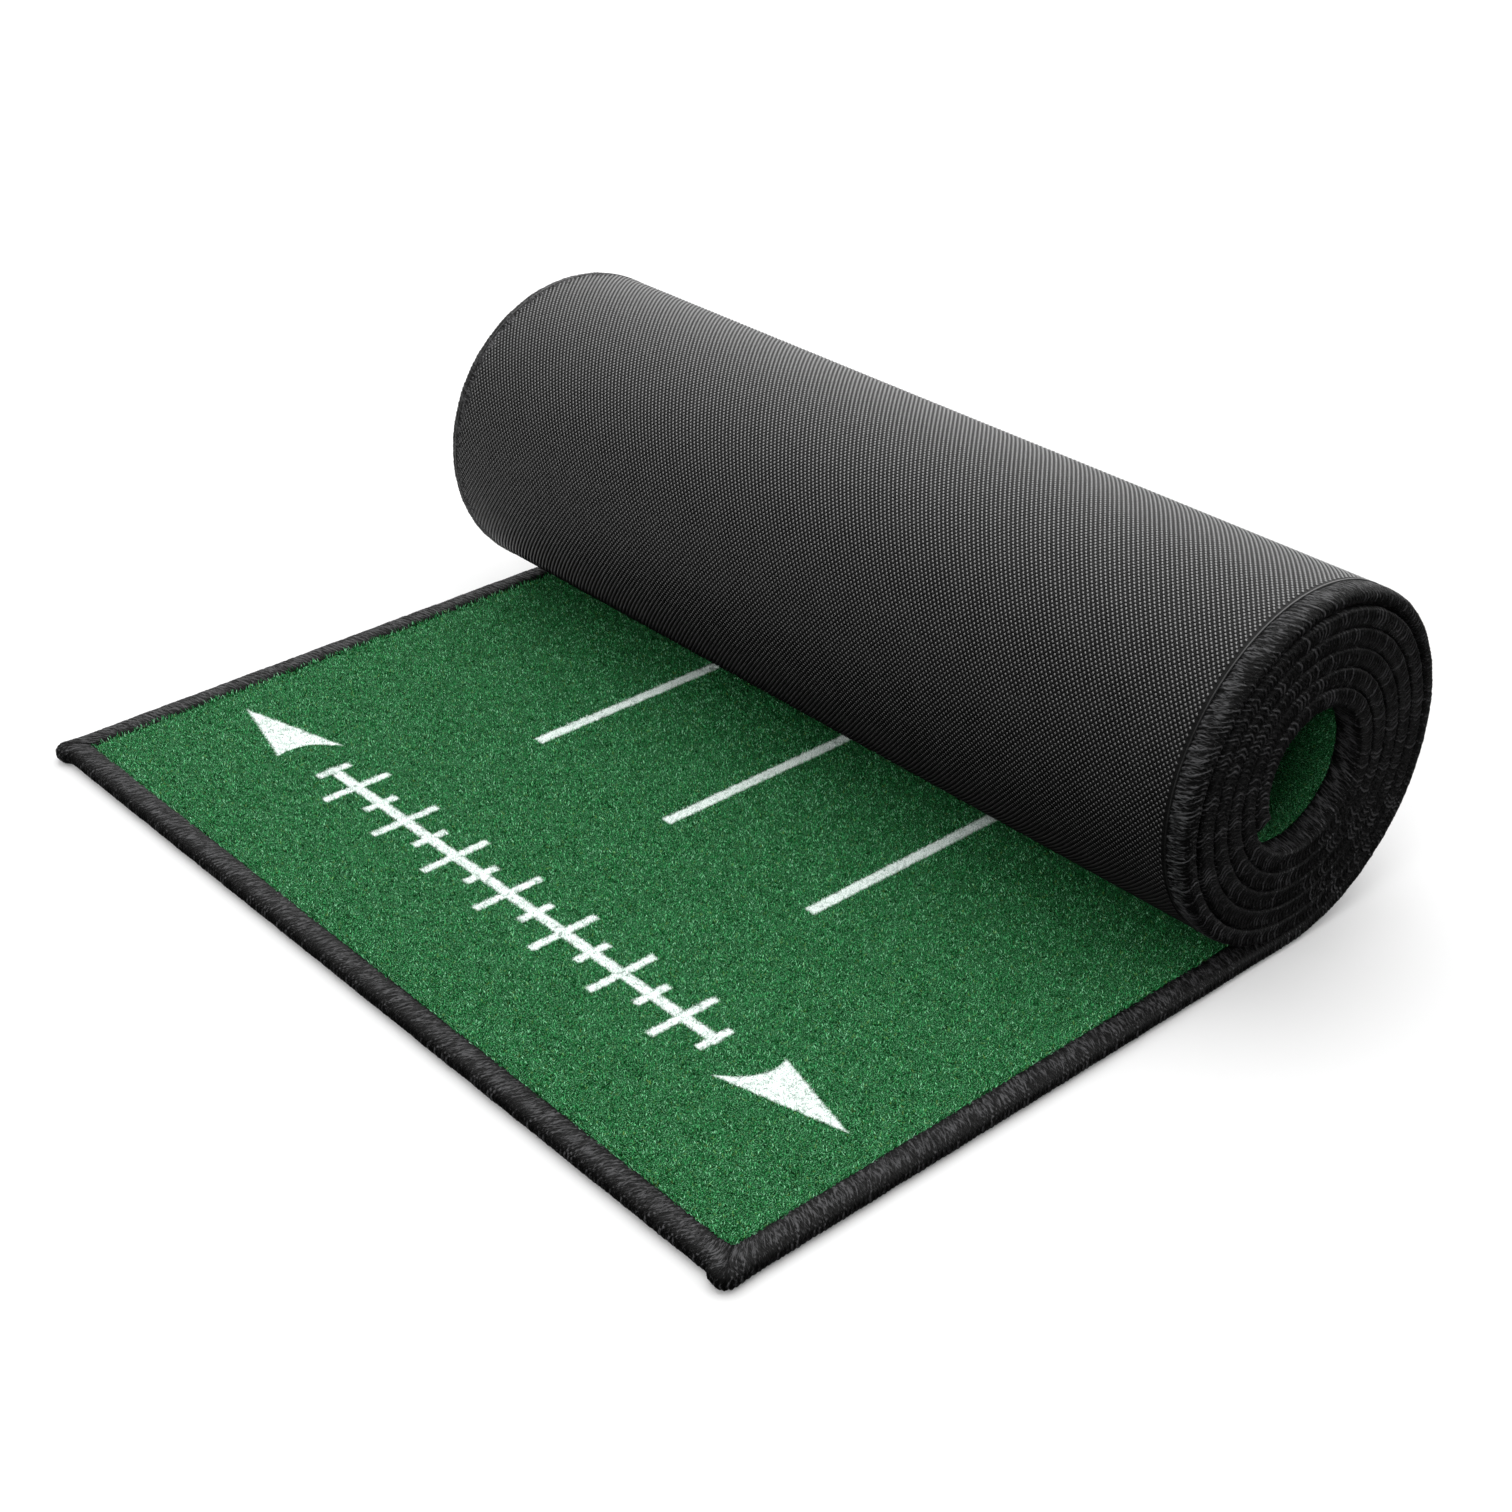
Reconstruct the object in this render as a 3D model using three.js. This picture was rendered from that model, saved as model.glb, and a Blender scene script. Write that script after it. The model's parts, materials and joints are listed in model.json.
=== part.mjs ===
// Practice putting mat: a strip of artificial turf with a rubber underside and an edge of black serged yarn,
// lying flat at its front end and rolled up at the back, turf inwards.
// Millimetres, +Z up. X runs across the mat, the front edge is at -Y, and the floor is at Z = 0.
// The origin is at the centre of the bounding box's base.
//
// The roll's outer half turn is cut across into sections, each hinged to the next along its underside, so that
// the mat rolls out section by section. What is left of the roll moves as one.
import * as THREE from "three";

// ---- Driving dimensions ----
const MAT_WIDTH = 500;
const FLAT_LENGTH = 320.5; // from the front edge to the line where the mat leaves the floor
const ROLL_RADIUS = 86.6; // from the roll's axis to the mat's underside, at that line
const WRAP_PITCH = 8.7; // each turn lies this much nearer the axis than the turn outside it
const FACET = 11.25; // degrees of turn that each flat facet of the roll takes
const TURNS_IN_FACETS = 186; // from the line where the mat leaves the floor to its rolled-up end
const SECTION_FACETS = 2; // facets in each hinged section
const HINGED_SECTIONS = 7; // between the flat run and the part that stays rolled up
const BINDING_WIDTH = 13.5;
const BINDING_THICKNESS = 7.9;
const TAIL_BINDING_FACETS = 2; // its width along the mat, in facets of the innermost turn
const PIECE_GAP = 0.3; // between pieces that lie face to face

// Depth of each layer above the underside, from its lower face to its upper face.
const LAYERS = {
  backing: [0, 2.0],
  tufting_cloth: [2.2, 3.0],
  turf: [3.2, 7.6],
};

// ---- Worked out from the dimensions above ----
const MAT_DEPTH = FLAT_LENGTH + undersideRadius(90); // overall, from the front edge to the back of the roll
const FRONT_Y = -MAT_DEPTH / 2;
const AXIS_Y = FRONT_Y + FLAT_LENGTH;
const TAIL_TURN = TURNS_IN_FACETS * FACET;
const TAIL_BINDING_TURN = TAIL_TURN - TAIL_BINDING_FACETS * FACET;
const SEAM_X = MAT_WIDTH / 2 - BINDING_WIDTH; // where the side bindings meet the layers

const MATERIALS = {
  turf: { color: 0x1f6b3c, roughness: 0.95, metalness: 0 },
  tufting_cloth: { color: 0x20241f, roughness: 0.9, metalness: 0 },
  backing: { color: 0x2b2c2e, roughness: 0.6, metalness: 0 },
  binding: { color: 0x17181a, roughness: 0.85, metalness: 0 },
};

// Distance from the roll's axis to the underside, after the given degrees of turn.
function undersideRadius(turn) {
  return ROLL_RADIUS - (WRAP_PITCH * turn) / 360;
}

// A point of the mat's long section, at a height above the underside. Turn 0 is the lowest point of the roll,
// and turn grows towards the back, over the top and round again. The shift is along the mat.
function rollPoint(turn, height, shift = 0) {
  const angle = THREE.MathUtils.degToRad(turn);
  const radius = undersideRadius(turn) - height;
  return new THREE.Vector2(
    AXIS_Y + radius * Math.sin(angle) + shift * Math.cos(angle),
    ROLL_RADIUS - radius * Math.cos(angle) + shift * Math.sin(angle),
  );
}

// One face of the mat between two turns, as a list of points. Its ends stand back from the neighbours' ends.
function rolledFace(startTurn, endTurn, height, startShift, endShift) {
  const points = [rollPoint(startTurn, height, startShift)];
  for (let turn = startTurn + FACET; turn < endTurn - FACET / 2; turn += FACET) {
    points.push(rollPoint(turn, height));
  }
  points.push(rollPoint(endTurn, height, endShift));
  return points;
}

// Long section of a layer between two turns.
function rolledSection(startTurn, endTurn, [low, high], endShift = -PIECE_GAP / 2) {
  const startShift = PIECE_GAP / 2;
  const under = rolledFace(startTurn, endTurn, low, startShift, endShift);
  const over = rolledFace(startTurn, endTurn, high, startShift, endShift);
  return new THREE.Shape([...under, ...over.reverse()]);
}

// Long section of a layer of the flat run, with the first facet of the roll, up to the first hinge.
function flatSection(startY, [low, high]) {
  return new THREE.Shape([
    new THREE.Vector2(startY, low),
    rollPoint(0, low),
    rollPoint(FACET, low, -PIECE_GAP / 2),
    rollPoint(FACET, high, -PIECE_GAP / 2),
    rollPoint(0, high),
    new THREE.Vector2(startY, high),
  ]);
}

// A solid of the given long section, between two places across the mat.
function strip(name, material, section, leftX, rightX) {
  const geometry = new THREE.ExtrudeGeometry(section, {
    depth: rightX - leftX,
    bevelEnabled: false,
  });
  const mesh = new THREE.Mesh(geometry, new THREE.MeshStandardMaterial(MATERIALS[material]));
  mesh.name = name;
  mesh.position.z = leftX;
  return mesh;
}

// The three layers and the two side bindings of one stretch of the mat. Each section is made by a function of
// the heights of its lower and upper faces.
function stretch(prefix, layerSection, bindingSection) {
  const group = new THREE.Group();
  const layerX = SEAM_X - PIECE_GAP;
  for (const [layer, heights] of Object.entries(LAYERS)) {
    group.add(strip(`${prefix}_${layer}`, layer, layerSection(heights), -layerX, layerX));
  }
  const side = bindingSection([0, BINDING_THICKNESS]);
  group.add(strip(`${prefix}_left_binding`, "binding", side, -MAT_WIDTH / 2, -SEAM_X));
  group.add(strip(`${prefix}_right_binding`, "binding", side, SEAM_X, MAT_WIDTH / 2));
  return group;
}

// A binding across the mat, between the side bindings.
function crossBinding(name, section) {
  return strip(name, "binding", section, -SEAM_X + PIECE_GAP, SEAM_X - PIECE_GAP);
}

function frontBinding() {
  const section = new THREE.Shape([
    new THREE.Vector2(FRONT_Y, 0),
    new THREE.Vector2(FRONT_Y + BINDING_WIDTH, 0),
    new THREE.Vector2(FRONT_Y + BINDING_WIDTH, BINDING_THICKNESS),
    new THREE.Vector2(FRONT_Y, BINDING_THICKNESS),
  ]);
  return crossBinding("front_binding", section);
}

function tailBinding() {
  const section = rolledSection(TAIL_BINDING_TURN, TAIL_TURN, [0, BINDING_THICKNESS], 0);
  return crossBinding("tail_binding", section);
}

function flatRun() {
  const layerStart = FRONT_Y + BINDING_WIDTH + PIECE_GAP;
  const run = stretch(
    "flat",
    (heights) => flatSection(layerStart, heights),
    (heights) => flatSection(FRONT_Y, heights),
  );
  return run.add(frontBinding());
}

function hingedSection(number) {
  const startTurn = FACET + (number - 1) * SECTION_FACETS * FACET;
  const endTurn = startTurn + SECTION_FACETS * FACET;
  const section = (heights) => rolledSection(startTurn, endTurn, heights);
  return stretch(`wrap_${number}`, section, section);
}

function rolledUpPart() {
  const startTurn = FACET + HINGED_SECTIONS * SECTION_FACETS * FACET;
  const roll = stretch(
    "roll",
    (heights) => rolledSection(startTurn, TAIL_BINDING_TURN, heights),
    (heights) => rolledSection(startTurn, TAIL_TURN, heights, 0),
  );
  return roll.add(tailBinding());
}

// The sections are drawn in a plane whose x is the mat's Y and whose y is its Z, and stretched along X.
const mat = new THREE.Group();
mat.name = "putting_mat";
mat.quaternion.setFromRotationMatrix(
  new THREE.Matrix4().makeBasis(
    new THREE.Vector3(0, 1, 0),
    new THREE.Vector3(0, 0, 1),
    new THREE.Vector3(1, 0, 0),
  ),
);
mat.add(flatRun());
for (let number = 1; number <= HINGED_SECTIONS; number += 1) {
  mat.add(hingedSection(number));
}
mat.add(rolledUpPart());

export default mat;
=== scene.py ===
# Practice putting mat, laid flat at the front and rolled up at the back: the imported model's looks.
# Metres, +Z up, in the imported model's frame. A place on the mat is given by x across it, its run
# along the underside from the front edge, and its height above the underside, so the same code
# shapes flat and rolled mat.
import json
import math

import bpy
import numpy as np
from mathutils import Matrix, Vector

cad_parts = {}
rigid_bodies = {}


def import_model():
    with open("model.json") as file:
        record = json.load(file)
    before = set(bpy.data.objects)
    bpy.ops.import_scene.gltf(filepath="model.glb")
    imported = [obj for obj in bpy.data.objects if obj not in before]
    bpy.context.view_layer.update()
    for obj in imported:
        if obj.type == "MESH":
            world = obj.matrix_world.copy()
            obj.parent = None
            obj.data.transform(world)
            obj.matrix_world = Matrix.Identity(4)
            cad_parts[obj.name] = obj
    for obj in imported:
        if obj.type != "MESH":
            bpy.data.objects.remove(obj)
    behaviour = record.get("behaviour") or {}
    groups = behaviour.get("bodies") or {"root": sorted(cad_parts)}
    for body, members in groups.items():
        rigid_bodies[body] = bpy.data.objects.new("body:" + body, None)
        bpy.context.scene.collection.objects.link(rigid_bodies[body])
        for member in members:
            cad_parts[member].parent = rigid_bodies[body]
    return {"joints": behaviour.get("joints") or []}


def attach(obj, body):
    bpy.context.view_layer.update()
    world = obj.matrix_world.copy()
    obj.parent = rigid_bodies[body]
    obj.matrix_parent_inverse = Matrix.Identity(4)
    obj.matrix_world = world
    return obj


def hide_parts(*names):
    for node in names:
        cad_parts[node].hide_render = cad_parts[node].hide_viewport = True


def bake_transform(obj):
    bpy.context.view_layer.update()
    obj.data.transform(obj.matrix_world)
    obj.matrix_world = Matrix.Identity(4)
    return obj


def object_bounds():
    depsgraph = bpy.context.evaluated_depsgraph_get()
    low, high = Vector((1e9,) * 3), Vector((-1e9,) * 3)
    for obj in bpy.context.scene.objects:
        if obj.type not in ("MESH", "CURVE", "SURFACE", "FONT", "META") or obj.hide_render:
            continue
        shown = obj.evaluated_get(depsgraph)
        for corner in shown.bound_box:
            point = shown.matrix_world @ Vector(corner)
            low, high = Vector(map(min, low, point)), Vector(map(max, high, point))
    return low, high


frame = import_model()
cad_low, cad_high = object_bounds()

MM = 0.001

# ---- The mat's run, as in the CAD model ----
FLAT_LENGTH = 320.5 * MM
ROLL_RADIUS = 86.6 * MM  # from the roll's axis to the underside, where the mat leaves the floor
WRAP_PITCH = 8.7 * MM
TAIL_TURN = math.radians(2092.5)
BEND_TURN = math.radians(22.5)  # each joint bends this much of the roll's outside
INWARD_PER_RADIAN = WRAP_PITCH / (2 * math.pi)
HALF_WIDTH = cad_high.x
AXIS_Y = cad_low.y + FLAT_LENGTH
BODIES = [frame["joints"][0]["parent"]] + [joint["child"] for joint in frame["joints"]]
BENDS = len(frame["joints"])

# ---- Heights above the underside ----
GRAIN_HEIGHT = 0.42 * MM  # how far the grain stands out of the backing, down to the underside
BACKING_TOP = 2.4 * MM
CLOTH_TOP = 3.0 * MM
PILE_ROOT = 6.5 * MM  # the dense part of the pile, which the tuft tips stand on
TUFT_TOP = 7.9 * MM
LAYER_TUCK = 0.8 * MM  # how far the layers reach in under the bindings

# ---- Serged yarn binding ----
BINDING_WIDTH = 13.5 * MM
BINDING_HALF_HEIGHT = 4.2 * MM
BINDING_MIDDLE = 4.25 * MM
BINDING_SQUARENESS = 2.8  # exponent of the section's rounded outline: 2 is an ellipse
PRESSED_SQUARENESS = 10  # where the turns of the roll press on each other
PRESSED_SWELL = 0.44 * MM
PRESSED_TURNS = (math.radians(270), math.radians(450))  # between these the section grows square
YARN_PITCH = 2.4 * MM
YARN_RELIEF = 0.6 * MM
YARN_LEVEL = 0.8  # height of a wrap, from 0 to 1, that lies on the binding's outline
YARN_TENSION = 0.05 * MM  # how far uneven tension lifts the yarn
YARN_BOW = 1.8  # how far each wrap bows back round the outer edge, in pitches
CORNER_RADIUS = 5.5 * MM  # of the binding's outer edge
CORNER_ARC = 9 * MM  # length of binding that goes round each corner
CORNER_SWELL = 0.11  # share by which the binding is thicker where the yarn crosses at a corner
CORNER_SWELL_REACH = 7 * MM
INNER_TURN = 0.25 * MM  # radius of the inside of each corner
CORNER_FAN = 40 * MM  # the inner ends of the wraps spread over this length beside a corner
LUMP_REACH = 2.2 * MM  # how far the knotted corners stand out past the front and tail edges
LUMP_WIDTH = 13 * MM
LUMP_EDGE = 4 * MM  # over which a lump rises
GIRTH_PER_RADIAN = 6 * MM  # of the binding's section, for the yarn's uv map and its fuzz
LEFT_SEAM, RIGHT_SEAM = 4.6 * MM, 10.8 * MM  # from the mat's edges to where the backing ends


def run_of_turn(turn):
    return FLAT_LENGTH + ROLL_RADIUS * turn - INWARD_PER_RADIAN * turn * turn / 2


def turn_of_run(run):
    rolled = np.maximum(run - FLAT_LENGTH, 0)
    radius = np.sqrt(ROLL_RADIUS**2 - 2 * INWARD_PER_RADIAN * rolled)
    return (ROLL_RADIUS - radius) / INWARD_PER_RADIAN


MAT_LENGTH = run_of_turn(TAIL_TURN)
# Along the edges, from the middle of one corner to the middle of the next:
SIDE_LENGTH = MAT_LENGTH - 2 * CORNER_RADIUS + CORNER_ARC
END_LENGTH = 2 * HALF_WIDTH - 2 * CORNER_RADIUS + CORNER_ARC


def place(x, run, height):
    """Points of the mat, shape (..., 3), from arrays or numbers."""
    values = (np.asarray(value, float) for value in (x, run, height))
    x, run, height = np.broadcast_arrays(*values)
    turn = turn_of_run(run)
    radius = ROLL_RADIUS - INWARD_PER_RADIAN * turn - height
    y = AXIS_Y + np.minimum(run - FLAT_LENGTH, 0) + radius * np.sin(turn)
    z = ROLL_RADIUS - radius * np.cos(turn)
    return np.stack([x, y, z], axis=-1)


def scatter(first, second=0.0, salt=0.0):
    """A repeatable number from 0 to 1 for each pair of numbers, with no pattern that shows."""
    wave = np.sin(np.asarray(first) * 127.1 + np.asarray(second) * 311.7 + salt * 74.7) * 43758.5453
    return wave - np.floor(wave)


def steps(first, last, spacing):
    return np.linspace(first, last, max(2, round(abs(last - first) / spacing) + 1))


# ---- Meshes ----
SHARP_ANGLE = 40  # degrees between faces that meet in an edge which isn't smoothed over
NEVER_SHARP = 180


def mesh_piece(name, points, faces, loop_uvs, material, sharp_angle=SHARP_ANGLE):
    """A mesh object with a uv map named mat, in metres along the surface."""
    mesh = bpy.data.meshes.new(name)
    mesh.from_pydata(points.tolist(), [], faces)
    mesh.uv_layers.new(name="mat").data.foreach_set("uv", np.asarray(loop_uvs, np.float32).ravel())
    mesh.materials.append(material)
    mesh.shade_smooth()
    mesh.set_sharp_from_angle(angle=math.radians(sharp_angle))
    piece = bpy.data.objects.new(name, mesh)
    bpy.context.scene.collection.objects.link(piece)
    return piece


def swept(name, points, u, v, material, sharp_angle=SHARP_ANGLE, v_shift=0.0):
    """A closed tube through sections: points is (sections, points of a section, 3). u has one
    value more than a section has points, for the closing strip, and v has one value for each
    section. v_shift is added to v at each value of u."""
    count, around, _ = points.shape
    shift = np.broadcast_to(v_shift, around + 1)
    i, j = np.meshgrid(np.arange(count - 1), np.arange(around), indexing="ij")
    after = (j + 1) % around
    this, following = i * around, (i + 1) * around
    quads = np.stack([this + j, this + after, following + after, following + j], -1).reshape(-1, 4)
    u_loops = np.stack([u[j], u[j + 1], u[j + 1], u[j]], -1).reshape(-1, 4)
    v_loops = np.stack([v[i], v[i], v[i + 1], v[i + 1]], -1).reshape(-1, 4)
    v_loops += np.stack([shift[j], shift[j + 1], shift[j + 1], shift[j]], -1).reshape(-1, 4)
    first_cap = np.arange(around)[::-1]
    last_cap = (count - 1) * around + np.arange(around)
    vertices = points.reshape(-1, 3)
    corner = vertices[quads]
    centre = vertices.mean(axis=0)
    spans = np.cross(corner[:, 2] - corner[:, 0], corner[:, 3] - corner[:, 1])
    inside_out = np.einsum("ij,ij->", corner.mean(axis=1) - centre, spans) < 0
    cap_uvs = [np.stack([u[:around][::-1], np.full(around, v[0])], -1)]
    cap_uvs.append(np.stack([u[:around], np.full(around, v[-1])], -1))
    if inside_out:
        quads, u_loops, v_loops = quads[:, ::-1], u_loops[:, ::-1], v_loops[:, ::-1]
        first_cap, last_cap = first_cap[::-1], last_cap[::-1]
        cap_uvs = [part[::-1] for part in cap_uvs]
    faces = quads.tolist() + [first_cap.tolist(), last_cap.tolist()]
    loop_uvs = np.concatenate([np.stack([u_loops, v_loops], -1).reshape(-1, 2), *cap_uvs])
    return mesh_piece(name, vertices, faces, loop_uvs, material, sharp_angle)


# ---- Materials ----
class Shader:
    """A material with one Principled shader, and short ways to add nodes to it."""

    def __init__(self, name, **settings):
        self.material = bpy.data.materials.new(name)
        self.material.use_nodes = True
        self.tree = self.material.node_tree
        self.surface = self.tree.nodes["Principled BSDF"]
        for socket, value in settings.items():
            self.surface.inputs[socket.replace("_", " ")].default_value = value
        self.uv = self.add("ShaderNodeUVMap", uv_map="mat").outputs["UV"]
        split = self.add("ShaderNodeSeparateXYZ")
        self.join(self.uv, split.inputs[0])
        self.across, self.along = split.outputs["X"], split.outputs["Y"]

    def add(self, kind, **settings):
        node = self.tree.nodes.new(kind)
        for name, value in settings.items():
            setattr(node, name, value)
        return node

    def join(self, source, socket):
        if isinstance(source, bpy.types.NodeSocket):
            self.tree.links.new(source, socket)
        else:
            socket.default_value = source

    def math(self, operation, *values):
        node = self.add("ShaderNodeMath", operation=operation)
        for value, socket in zip(values, node.inputs):
            self.join(value, socket)
        return node.outputs[0]

    def lean(self, tone, value, middle, share):
        """tone, made lighter by a share of value where value is over its middle."""
        over = self.math("SUBTRACT", value, middle)
        return self.math("ADD", tone, self.math("MULTIPLY", over, share))

    def clamp(self, value):
        node = self.add("ShaderNodeClamp")
        self.join(value, node.inputs["Value"])
        return node.outputs[0]

    def point(self, across, along):
        node = self.add("ShaderNodeCombineXYZ")
        self.join(across, node.inputs["X"])
        self.join(along, node.inputs["Y"])
        return node.outputs[0]

    def noise(self, size, detail=2.0, stretch=(1, 1), roughness=0.5, skew=0.0):
        """Noise with features about size metres across, drawn out by stretch, slanted by skew."""
        across = self.math("MULTIPLY", self.across, 1 / (size * stretch[0]))
        along = self.math("MULTIPLY_ADD", self.across, skew, self.along) if skew else self.along
        along = self.math("MULTIPLY", along, 1 / (size * stretch[1]))
        node = self.add("ShaderNodeTexNoise", noise_dimensions="2D")
        self.join(self.point(across, along), node.inputs["Vector"])
        node.inputs["Scale"].default_value = 1
        node.inputs["Detail"].default_value = detail
        node.inputs["Roughness"].default_value = roughness
        return node.outputs["Fac"]

    def ramp(self, factor, *stops):
        """stops are (position, colour)."""
        node = self.add("ShaderNodeValToRGB")
        elements = node.color_ramp.elements
        while len(elements) < len(stops):
            elements.new(0.5)
        for element, (position, colour) in zip(elements, stops):
            element.position = position
            element.color = (*colour, 1)
        self.join(factor, node.inputs["Fac"])
        return node.outputs["Color"]

    def spread(self, value, low, high, to_low=0.0, to_high=1.0):
        node = self.add("ShaderNodeMapRange")
        for source, socket in zip((value, low, high, to_low, to_high), node.inputs):
            self.join(source, socket)
        return node.outputs[0]

    def mix(self, factor, first, second, blend="MIX"):
        node = self.add("ShaderNodeMix", data_type="RGBA", blend_type=blend)
        for source, name in ((factor, "Factor_Float"), (first, "A_Color"), (second, "B_Color")):
            socket = next(item for item in node.inputs if item.identifier == name)
            self.join(source, socket)
        return next(item for item in node.outputs if item.identifier == "Result_Color")

    def bump(self, height, distance, strength=1.0):
        node = self.add("ShaderNodeBump")
        node.inputs["Strength"].default_value = strength
        node.inputs["Distance"].default_value = distance
        self.join(height, node.inputs["Height"])
        self.join(node.outputs["Normal"], self.surface.inputs["Normal"])

    def colour(self, source):
        self.join(source, self.surface.inputs["Base Color"])

    def rough(self, source):
        self.join(source, self.surface.inputs["Roughness"])


# ---- Guide marks dyed into the pile ----
LINE_PLACES = (-97 * MM, 1 * MM, 99 * MM)
LINE_HALF_WIDTH = 2.9 * MM
LINE_START, LINE_END = 178 * MM, 2150 * MM  # runs
GAUGE_RUN = 88 * MM
GAUGE_HALF_LENGTH = 140 * MM
GAUGE_HALF_STROKE = 2.6 * MM
TICK_HALF_STROKE = GAUGE_HALF_STROKE * 0.8
TICK_STEP = 20 * MM
SHORT_TICK, LONG_TICK = 9 * MM, 18 * MM  # each way from the middle of the gauge
ARROW_TIP, ARROW_BASE = 218 * MM, 164 * MM
ARROW_HALF_WIDTH = 14 * MM
ARROW_NOTCH = 6 * MM  # how far the arrow's base curves in
ARROW_SLANT = 4.5 * MM  # how far one end of the base lies behind the other
DYE_EDGE = 1.4 * MM  # width over which the dye fades out
DYE_WANDER = 1.5 * MM  # how far the tufts carry its edge to and fro
DYE_GRAIN = 1.1 * MM


def guide_marks(shader):
    """A mask that is 1 where the pile is dyed white."""
    wander = shader.math("SUBTRACT", shader.noise(DYE_GRAIN), 0.5)
    wander = shader.math("MULTIPLY", wander, DYE_WANDER)
    across = shader.math("ADD", shader.across, wander)
    along = shader.math("ADD", shader.along, wander)

    def within(distance):
        """1 where distance is below nothing, fading over the dye's edge."""
        return shader.clamp(shader.math("MULTIPLY_ADD", distance, -1 / DYE_EDGE, 0.5))

    def off(value, middle, half):
        centred = shader.math("SUBTRACT", value, middle)
        return shader.math("SUBTRACT", shader.math("ABSOLUTE", centred), half)

    def both(first, second):
        return shader.math("MULTIPLY", first, second)

    def either(first, second):
        return shader.math("MAXIMUM", first, second)

    line_middle, line_half = (LINE_START + LINE_END) / 2, (LINE_END - LINE_START) / 2
    lines = within(off(across, LINE_PLACES[0], LINE_HALF_WIDTH))
    for line_place in LINE_PLACES[1:]:
        lines = either(lines, within(off(across, line_place, LINE_HALF_WIDTH)))
    lines = both(lines, within(off(along, line_middle, line_half)))

    from_middle = shader.math("ABSOLUTE", across)
    gauge_end = GAUGE_HALF_LENGTH + GAUGE_HALF_STROKE
    in_gauge = within(shader.math("SUBTRACT", from_middle, gauge_end))
    marks = either(lines, both(in_gauge, within(off(along, GAUGE_RUN, GAUGE_HALF_STROKE))))
    for step, reach in ((TICK_STEP, SHORT_TICK), (2 * TICK_STEP, LONG_TICK)):
        shifted = shader.math("ADD", from_middle, step / 2)
        in_step = shader.math("MODULO", shifted, step)
        ticks = within(off(in_step, step / 2, TICK_HALF_STROKE))
        ticks = both(ticks, within(off(along, GAUGE_RUN, reach)))
        marks = either(marks, both(ticks, in_gauge))

    taper = ARROW_HALF_WIDTH / (ARROW_TIP - ARROW_BASE)
    half_width = shader.math("MULTIPLY", shader.math("SUBTRACT", ARROW_TIP, from_middle), taper)
    offset = shader.math("SUBTRACT", along, GAUGE_RUN)
    beside = shader.math("SUBTRACT", shader.math("ABSOLUTE", offset), half_width)
    share = shader.math("MULTIPLY", offset, 1 / ARROW_HALF_WIDTH)
    square = shader.math("MULTIPLY", share, share)
    base = shader.math("MULTIPLY_ADD", square, -ARROW_NOTCH, ARROW_BASE + ARROW_NOTCH)
    turned = shader.math("MULTIPLY", share, shader.math("SIGN", across))
    base = shader.math("MULTIPLY_ADD", turned, ARROW_SLANT, base)
    arrow = both(within(beside), within(shader.math("SUBTRACT", base, from_middle)))
    return either(marks, arrow)


def turf_material():
    shader = Shader("turf_pile", Roughness=0.95, Specular_IOR_Level=0.1)
    grain = shader.noise(0.55 * MM, detail=2, roughness=0.7)
    patches = shader.noise(7 * MM, detail=2)
    tone = shader.lean(grain, patches, 0.5, 0.06)
    green = shader.ramp(
        tone,
        (0.40, (0.001, 0.023, 0.003)),
        (0.50, (0.010, 0.132, 0.031)),
        (0.58, (0.058, 0.360, 0.118)),
        (0.69, (0.290, 0.660, 0.390)),
    )
    fleck = shader.spread(shader.noise(1.6 * MM, detail=1), 0.70, 0.76)
    green = shader.mix(shader.math("MULTIPLY", fleck, 0.5), green, (0.20, 0.36, 0.08, 1))
    white = shader.ramp(
        grain,
        (0.34, (0.30, 0.42, 0.35)),
        (0.47, (0.64, 0.71, 0.68)),
        (0.60, (0.80, 0.86, 0.83)),
    )
    # Painted shade and light in the pile: the green is multiplied from 0.4 at the tufts' feet up to
    # 1.6 at their tips. The dense pile under them has no tip attribute, so it is painted at 0.4. The
    # white dye is not shaded.
    depth = shader.add("ShaderNodeAttribute", attribute_name="tip").outputs["Fac"]
    root_shade_tip_light = shader.spread(depth, 0, 1, 0.4, 1.6)
    grey = shader.add("ShaderNodeCombineXYZ")
    for socket in grey.inputs:
        shader.join(root_shade_tip_light, socket)
    green = shader.mix(1.0, green, grey.outputs[0], "MULTIPLY")
    shader.colour(shader.mix(guide_marks(shader), green, white))
    return shader.material


def rubber_material(name, dark, light, gloss, roughness, **settings):
    """Charcoal rubber, a little dusty. dark and light are grey levels, and gloss is the specular
    level."""
    shader = Shader(name, Specular_IOR_Level=gloss, **settings)
    mottle = shader.noise(14 * MM, detail=3)
    dust = shader.noise(0.9 * MM, detail=2)
    shares = shader.math("MULTIPLY", mottle, 0.6), shader.math("MULTIPLY", dust, 0.4)
    level = shader.math("ADD", *shares)
    shader.colour(shader.ramp(level, (0.35, (dark, dark, dark)), (0.65, (light, light, light))))
    shader.rough(shader.spread(dust, 0.3, 0.7, roughness, roughness + 0.14))
    return shader.material


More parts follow.
